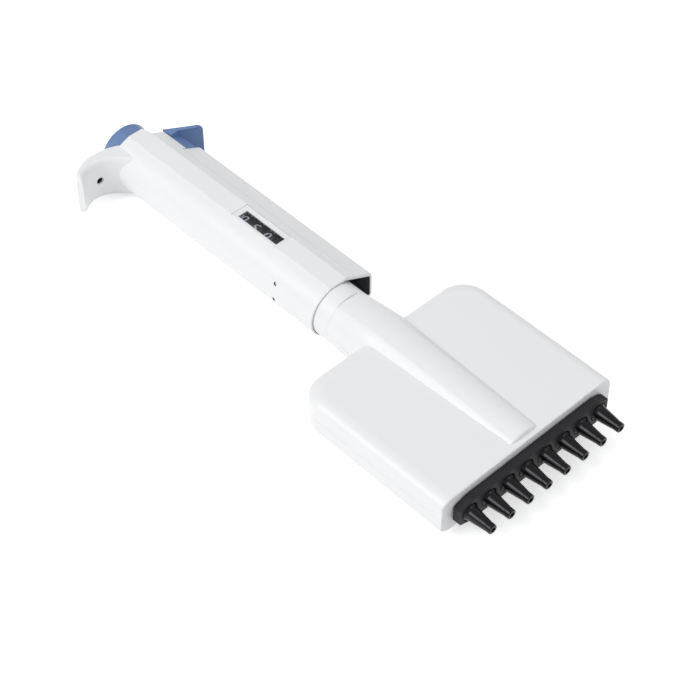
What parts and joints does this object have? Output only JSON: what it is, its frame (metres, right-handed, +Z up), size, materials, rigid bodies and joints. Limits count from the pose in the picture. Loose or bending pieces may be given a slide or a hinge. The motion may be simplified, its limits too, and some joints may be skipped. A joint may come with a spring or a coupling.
{
  "type": "multichannel micropipette",
  "caption": "Hand-held multichannel pipette lying flat: round handle with finger hook, push button, volume counter and tip ejector, and a wide swivelling head with a row of tip cones.",
  "frame": {"origin": "centre of the bounding box in X and Y, on the surface that the pipette lies on", "axes": "+X from the button to the nozzles, +Y from the finger hook to the ejector wing, +Z up, out of the side with the counter"},
  "size_m": [0.2274, 0.0824, 0.0232],
  "materials": {
    "white_plastic": "satin",
    "blue_plastic": "satin",
    "black_plastic": "gloss",
    "dark_bar_plastic": "satin",
    "wheel_plastic": "satin",
    "clear_plastic": "clear",
    "grey_plastic": "moulded",
    "brass": "machined",
    "steel": "machined"
  },
  "bodies": {
    "handle": {"handle_body": "white_plastic", "rear_cover": "white_plastic", "hook_badge": "blue_plastic", "window_frame": "white_plastic", "window_lens": "clear_plastic", "top_bush": "grey_plastic", "screw_nut": "brass", "counter_chassis": "grey_plastic", "blank_ring": "wheel_plastic", "chassis_end_plate": "grey_plastic", "spring_cup": "grey_plastic", "cup_pin_1": "steel", "cup_pin_2": "steel", "main_spring": "steel", "blow_out_spring": "steel", "ejector_spring": "steel", "swivel_collar": "white_plastic"},
    "volume_stop": {"screw_washer": "steel"},
    "volume_screw": {"volume_screw": "brass"},
    "plunger_slide": {"stop_collar": "steel"},
    "plunger": {"plunger_button": "blue_plastic", "plunger_rod": "steel", "shoulder_ring": "steel"},
    "blow_out": {"blow_out_washer": "steel"},
    "units_wheel": {"units_wheel": "wheel_plastic"},
    "tens_wheel": {"tens_wheel": "wheel_plastic"},
    "hundreds_wheel": {"hundreds_wheel": "wheel_plastic"},
    "ejector": {"ejector_lever": "blue_plastic", "ejector_rod": "steel", "ejector_yoke": "grey_plastic"},
    "ejector_foot": {"ejector_tube": "steel", "ejector_bridge": "grey_plastic", "ejector_bar": "dark_bar_plastic"},
    "head": {"head_upper_shell": "white_plastic", "head_lower_shell": "white_plastic", "head_screw_1": "steel", "head_screw_2": "steel", "head_screw_3": "steel", "head_screw_4": "steel", "cylinder_block": "grey_plastic", "seal_plate": "steel", "swivel_clip": "steel", "nozzle_1": "black_plastic", "nozzle_2": "black_plastic", "nozzle_3": "black_plastic", "nozzle_4": "black_plastic", "nozzle_5": "black_plastic", "nozzle_6": "black_plastic", "nozzle_7": "black_plastic", "nozzle_8": "black_plastic"},
    "pistons": {"piston_plate": "grey_plastic", "piston_1": "steel", "piston_2": "steel", "piston_3": "steel", "piston_4": "steel", "piston_5": "steel", "piston_6": "steel", "piston_7": "steel", "piston_8": "steel"}
  },
  "joints": [
    {"name": "volume_rise", "type": "slide", "parent": "handle", "child": "volume_stop", "axis": [-1, 0, 0], "range_m": [0, 0.01275]},
    {"name": "screw_turn", "type": "hinge", "parent": "volume_stop", "child": "volume_screw", "pos_m": [-0.08375, 0, 0.0116], "axis": [-1, 0, 0], "range_deg": [0, 9001]},
    {"name": "plunger_press", "type": "slide", "parent": "volume_stop", "child": "plunger_slide", "axis": [1, 0, 0], "range_m": [0, 0.0055], "stiffness_N_per_m": 300, "springref_m": -0.004, "deforming": ["main_spring"]},
    {"name": "volume_turn", "type": "hinge", "parent": "plunger_slide", "child": "plunger", "pos_m": [-0.1078, 0, 0.0116], "axis": [-1, 0, 0], "range_deg": [0, 9001]},
    {"name": "blow_out_press", "type": "slide", "parent": "handle", "child": "blow_out", "axis": [1, 0, 0], "range_m": [0, 0.003], "deforming": ["blow_out_spring"]},
    {"name": "units_turn", "type": "hinge", "parent": "handle", "child": "units_wheel", "pos_m": [-0.044, 0, 0.0116], "axis": [-1, 0, 0], "range_deg": [0, 9001]},
    {"name": "tens_turn", "type": "hinge", "parent": "handle", "child": "tens_wheel", "pos_m": [-0.0378, 0, 0.0116], "axis": [-1, 0, 0], "range_deg": [0, 901]},
    {"name": "hundreds_turn", "type": "hinge", "parent": "handle", "child": "hundreds_wheel", "pos_m": [-0.0316, 0, 0.0116], "axis": [-1, 0, 0], "range_deg": [0, 91]},
    {"name": "eject", "type": "slide", "parent": "handle", "child": "ejector", "axis": [1, 0, 0], "range_m": [0, 0.006], "stiffness_N_per_m": 250, "springref_m": -0.003, "deforming": ["ejector_spring"]},
    {"name": "head_swivel", "type": "hinge", "parent": "handle", "child": "head", "pos_m": [0.0124, 0, 0.0116], "axis": [1, 0, 0], "continuous": true},
    {"name": "piston_swivel", "type": "hinge", "parent": "plunger_slide", "child": "pistons", "pos_m": [0.05305, 0, 0.0116], "axis": [1, 0, 0], "continuous": true},
    {"name": "ejector_swivel", "type": "hinge", "parent": "ejector", "child": "ejector_foot", "pos_m": [-0.0073, 0, 0.0116], "axis": [1, 0, 0], "continuous": true}
  ],
  "couplings": [
    {"joint": "volume_turn", "follows": "volume_rise", "rad_per_m": 12320},
    {"joint": "screw_turn", "follows": "volume_rise", "rad_per_m": 12320},
    {"joint": "units_turn", "follows": "volume_rise", "rad_per_m": 12320},
    {"joint": "tens_turn", "follows": "volume_rise", "rad_per_m": 1232},
    {"joint": "hundreds_turn", "follows": "volume_rise", "rad_per_m": 123.2},
    {"joint": "blow_out_press", "follows": "plunger_press", "ratio": 0.54546},
    {"joint": "piston_swivel", "follows": "head_swivel", "ratio": 1},
    {"joint": "ejector_swivel", "follows": "head_swivel", "ratio": 1}
  ]
}
